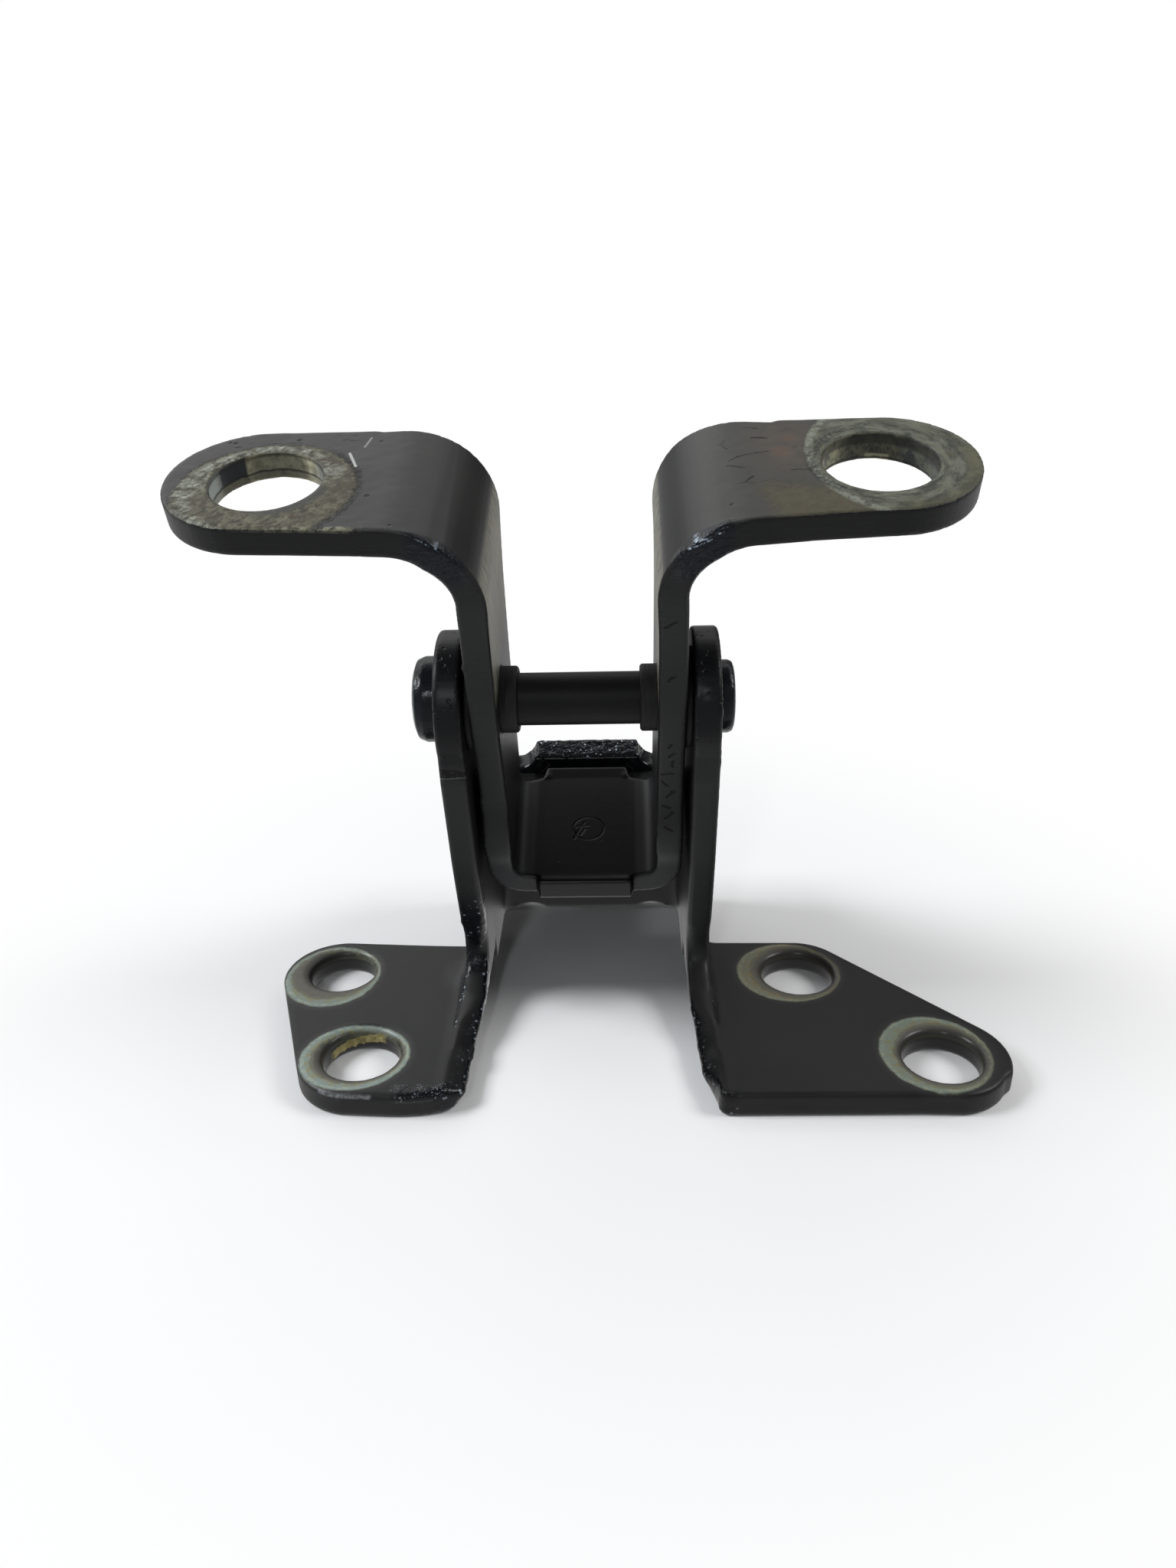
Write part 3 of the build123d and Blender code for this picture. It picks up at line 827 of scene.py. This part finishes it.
# %% Right flange
sweep = door.apart(across, along, (48.2, 5.2)) + ragged * 0.55
right_worn = sweep.rise(17.5, 17.1) * right
turn = door.sum("ARCTAN2", along - FLANGE_HOLES[1][1], across - FLANGE_HOLES[1][0])
swirl = door.noise(0.55, 5.0, 0.72, door.vector(from_right * 1.6, turn * 5.0, above))
slate = door.mix(swirl.rise(0.36, 0.62), (0.040, 0.043, 0.036), (0.150, 0.155, 0.118))
slate = door.mix(blot.rise(0.48, 0.62) * 0.5, slate, (0.105, 0.100, 0.066))
slate = door.mix(grit.rise(0.55, 0.70) * 0.5, slate, (0.030, 0.031, 0.028))
edge_tone = door.mix(blot.rise(0.35, 0.6), (0.042, 0.041, 0.024), (0.108, 0.103, 0.061))
near_edge = door.area(
    (from_right - across.rise(38.0, 48.0), 9.3, 11.0), (across, 38.0, 45.0), (along, 11.0, 4.0)
)
arc = door.area(((sweep - 16.7).size(), 0.8, 0.15), (flecks + blot, 0.84, 1.10))
trench = door.area(((from_right - 9.1).size(), 1.1, 0.3), (across, 40.0, 35.0), (grit, 0.40, 0.54))
haze = door.area((door.apart(across, along * 0.8, (29.0, 6.5)), 8.5, 2.0), (blot, 0.25, 0.6))
rust = door.apart(across, along, (27.8, 6.5)).rise(2.3, 0.4).most(
    door.apart(across, along, (29.5, 10.0)).rise(1.9, 0.3) * 0.8
)
smear = door.area(
    (along + (blot - 0.5) * 9.0, 0.0, -4.0), (across + along * 0.3 + ragged, 21.5, 25.0)
)
smear_tone = door.mix(slant, (0.040, 0.034, 0.022), (0.125, 0.108, 0.066))
colour = door.mix(haze * right * 0.6, colour, (0.085, 0.066, 0.050))
colour = door.mix(rust * right * 0.55, colour, (0.110, 0.062, 0.040))
colour = door.mix(smear * right * 0.75, colour, smear_tone)
colour = door.mix(right_worn * 0.95, colour, slate)
colour = door.mix(near_edge * right_worn * 0.75, colour, edge_tone)
colour = door.mix(arc * right, colour, (0.205, 0.215, 0.175))
colour = door.mix(trench * right * 0.75, colour, (0.018, 0.019, 0.018))
worn = left_worn.most(right_worn).most(smear * right)
roughness = door.blend(worn, roughness, 0.46 + grit * 0.2)
height = height - worn * (0.03 + blot * 0.04 + grit * 0.03) - crust * left * 0.05
print("flange wear ready")

# %% [markdown]
# ## Door bracket: hole walls and lifted paint
# The flange holes were punched, which leaves a smooth burnished upper wall and
# a broken lower third. Round the wear the paint has lifted in short cracks and
# small pits, and two pale scratches have their own places.

# %% Hole walls
bore = from_left.least(from_right).rise(7.80, 7.62) * above.rise(25.0, 27.0)
cream = door.mix(blot.rise(0.3, 0.62), (0.22, 0.21, 0.125), (0.62, 0.60, 0.40))
# painted shade: the right part of the left hole's wall is grey
cream = door.mix(across.rise(-37.0, -33.5), cream, (0.12, 0.125, 0.120))
cream = door.mix(across.rise(-46.5, -47.5), cream, (0.28, 0.31, 0.28))
# a dark vertical band on the left hole's wall
dark_wall_band = (across + 46.3 + ragged * 0.25).size().rise(1.7, 1.2)
cream = door.mix(dark_wall_band, cream, (0.022, 0.026, 0.029))
mottled = door.mix(slant.rise(0.35, 0.6), (0.070, 0.075, 0.058), (0.270, 0.260, 0.160))
shade = door.mix(blot.rise(0.40, 0.60), (0.034, 0.038, 0.036), (0.095, 0.100, 0.078))
mottled = door.mix((across + ragged * 0.5).rise(43.8, 45.2), mottled, shade)
lit = door.area(((across - 41.7).size(), 1.8, 1.4), (above, 33.9, 33.6))
mottled = door.mix(lit, mottled, (0.80, 0.76, 0.50))
walls = door.mix(right_side, cream, mottled)
fracture = above + (flecks - 0.5) * 0.7 - 33.2
broken = fracture.rise(0.0, -0.3)
broken_tone = door.mix(grit, (0.075, 0.060, 0.035), (0.300, 0.280, 0.190))
walls = door.mix(fracture.size().rise(0.28, 0.08) * 0.85, walls, (0.015, 0.014, 0.012))
walls = door.mix(broken * (1 - right_side) * 0.5, walls, broken_tone)
walls = door.mix(above.rise(35.0, 35.5) * 0.7, walls, (0.020, 0.018, 0.014))
colour = door.mix(bore, colour, walls)
roughness = door.blend(bore, roughness, 0.5)
height = height + bore * broken * grit * 0.08

# %% Lifted paint and scratches
drawn_out = door.vector(across * 0.4, along + (grit - 0.5) * 0.8, above)
cracks = door.area(
    (door.cells(0.22, "DISTANCE_TO_EDGE", drawn_out), 0.022, 0.006),
    (door.noise(0.35, 2.0, 0.5, square), 0.52, 0.58), (above, 33.0, 35.2),
)
rear = door.area((along, 11.5, 12.5), (across, -29.0, -31.0))
loose = door.area((door.apart(across, along, (29.5, 5.0)), 12.0, 8.0), (across, 10.0, 20.0))
pits = door.area(
    (door.cells(0.32, "F1", square), 0.16, 0.08), (door.noise(0.25, 1.0, 0.5, square), 0.54, 0.60)
)
lifted = (cracks * rear.most(loose)).most(pits * plate) * (1 - worn)
colour = door.mix(lifted, colour, (0.004, 0.004, 0.004))
height = height - lifted * 0.06

scratches = door.streak(across, along, (-30.4, 10.1), (-29.0, 6.4)).rise(0.26, 0.12).most(
    door.streak(across, along, (-28.0, 14.4), (-28.6, 11.8)).rise(0.22, 0.06) * 0.5
) * left
colour = door.mix(scratches, colour, (0.42, 0.43, 0.41))
roughness = door.blend(scratches, roughness, 0.35)
print("hole walls and lifted paint ready")

# %% [markdown]
# ## Door bracket: arms and the floor of the U
# The sheared faces of the arms are a little paler than the paint on the sheet,
# and short cracks run down the right one. The front of each bend holds a thick
# glossy run with fine painted highlight lines. Inside the arms the paint is
# scuffed pale. The floor of the U carries a plain round inspection stamp and is
# darkened as painted shade, with painted bluish highlights along its bends.

# %% Arms
CRACKS = [
    # short cracks down the right arm's front face: across and above the pin, at both ends
    ((12.4, 19.2), (13.9, 20.3)), ((13.0, 9.8), (13.9, 10.6)), ((13.3, -2.9), (13.7, -2.2)),
    ((13.5, -4.9), (14.1, -4.2)), ((13.9, -6.9), (14.1, -5.8)), ((12.4, -8.7), (14.0, -8.5)),
    ((12.5, -10.2), (13.3, -11.1)), ((13.2, -13.3), (14.3, -12.2)), ((12.6, -15.0), (13.7, -15.3)),
    ((13.0, -17.1), (14.2, -16.2)), ((13.0, -18.6), (14.2, -19.3)),
]
PAINTED_HIGHLIGHT_LINES = [
    # painted highlight lines on the glossy runs, placed alike, then their half width and strength
    ((15.6, 33.8), (19.2, 35.2), 0.20, 1.0),
    ((15.0, 32.9), (17.8, 34.3), 0.15, 1.0),
    ((-19.0, 34.7), (-16.6, 33.5), 0.15, 0.6),
]
drawn = door.noise(1.0, 3.0, 0.6, door.vector(across * 0.35, along, above * 2.6))
cut_tone = door.mix(above.rise(20.0, 28.0), (0.0200, 0.0212, 0.0218), (0.0100, 0.0106, 0.0112))
colour = door.mix(cut * 0.7, colour, cut_tone)
height = height + cut * (drawn * 0.03 + grit * 0.012)

wobble = (flecks - 0.5) * 0.7
nicks = 0.0
for start, end in CRACKS:
    nicks = door.streak(across + wobble, above - wobble, start, end).rise(0.24, 0.10).most(nicks)
nicks = nicks * door.area((along, -3.0, -4.5), (across, 11.0, 11.5))
colour = door.mix(nicks, colour, (0.003, 0.003, 0.003))
height = height - nicks * 0.12

glossy = door.area(
    ((across.size() - 17.0).size(), 4.6, 2.6), (above, 26.0, 29.0), (along, -8.6, -9.4)
)
ridges = door.noise(1.0, 3.0, 0.6, door.vector(across * 0.5, along * 2.2, above * 1.4))
painted_glare = 0.0
for start, end, width, strength in PAINTED_HIGHLIGHT_LINES:
    line = door.streak(across, above, start, end).rise(width, 0.04)
    painted_glare = (line * strength).most(painted_glare)
painted_glare = painted_glare * glossy * (grit + flecks * 0.5).rise(0.66, 0.86)
height = height + glossy * ridges * 0.22
roughness = door.blend(glossy, roughness, 0.16)
colour = door.mix(glossy, colour, (0.0060, 0.0075, 0.0105))
# painted highlight: pale blue lines on the glossy runs
colour = door.mix(painted_glare, colour, (0.34, 0.41, 0.48))

inner = door.area((facing[0].size(), 0.9, 0.98), (across.size(), 12.2, 11.8), (above, 4.0, 8.0))
scuffs = door.noise(1.0, 4.0, 0.7, door.vector(across, along * 1.8, above * 0.22))
colour = door.mix(inner * scuffs.rise(0.28, 0.64), colour, (0.225, 0.216, 0.172))
roughness = door.blend(inner * scuffs.rise(0.35, 0.6), roughness, 0.55)
height = height + inner * scuffs * 0.02

# %% Floor of the U
STAMP = (0.45, 1.3)                      # middle of the round stamp
STAMP_MARK = [((-1.9, -1.0), (-0.3, 2.7)), ((-1.5, 1.7), (0.3, 2.0)), ((-0.9, -0.2), (-0.2, 1.2))]
stamp = (door.apart(across, along, STAMP) - 2.6).size().rise(0.28, 0.10)
for start, end in STAMP_MARK:
    stamp = door.streak(across + wobble * 0.5, along, start, end).rise(0.36, 0.12).most(stamp)
height = height - stamp * door.area((above, -28.0, -29.5), (across.size(), 8.0, 7.0)) * 0.22
# painted highlight: faint bluish lines along the U's inside bends
bend_highlight = door.area((across.size(), 9.2, 10.4), (above, -22.0, -28.0))
# painted shade: the U's floor between the arms is nearly black
u_floor_shade = door.area((above, -29.0, -29.8), (across.size(), 9.0, 8.0))
colour = door.mix(bend_highlight * 0.4, colour, (0.020, 0.022, 0.025))
colour = door.mix(u_floor_shade, colour, (0.0030, 0.0030, 0.0031))
roughness = door.blend(u_floor_shade, roughness, 0.27)
door.surface(colour, roughness, height, 0.28)
skins["inner_bracket"].data.materials.append(door.material)
print("door bracket finish:", len(door.tree.nodes), "nodes")

# %% [markdown]
# ## Pin and bushes
# The pin was painted with the brackets. Its shank kept the fine rings of the
# lathe, and thick paint on its two formed ends is bluish and glossy. The bushes
# are duller, a little paler and rougher.

# %% Pin
pin = Finish("pin_paint")
colour, roughness, height = black_paint(pin, 0.8)
rings = pin.noise(1.0, 2.0, 0.6, pin.vector(pin.x * 3.0, pin.y * 0.2, pin.z * 0.2))
ends = (pin.x - PIN.x).size().rise(20.6, 21.2)
colour = pin.mix(ends, colour, (0.012, 0.0145, 0.017))
roughness = pin.blend(ends, roughness + 0.06, 0.20)
height = height + (1 - ends) * rings * 0.008 + ends * pin.noise(1.3, 2.0) * 0.07
pin.surface(colour, roughness, height, 0.22)
skins["hinge_pin"].data.materials.append(pin.material)
print("pin finish:", len(pin.tree.nodes), "nodes")

# %% Bushes
bush = Finish("bush_steel")
colour, roughness, height = black_paint(bush, 0.9)
rings = bush.noise(1.0, 2.0, 0.6, bush.vector(bush.x * 4.0, bush.y * 0.25, bush.z * 0.25))
colour = bush.mix(0.4 + rings.rise(0.4, 0.7) * 0.6, colour, (0.026, 0.026, 0.027))
height = height + rings * 0.015 + bush.noise(3.0, 3.0, 0.7) * 0.01
bush.surface(colour, roughness + 0.16, height, 0.25)
for name in ("left_bush", "right_bush"):
    skins[name].data.materials.append(bush.material)
print("bush finish:", len(bush.tree.nodes), "nodes")

# %% [markdown]
# ## Size
# The dressed part is no larger than the solids, since each skin is clipped to
# its solid's box. The dressed part must be no larger than the solids.
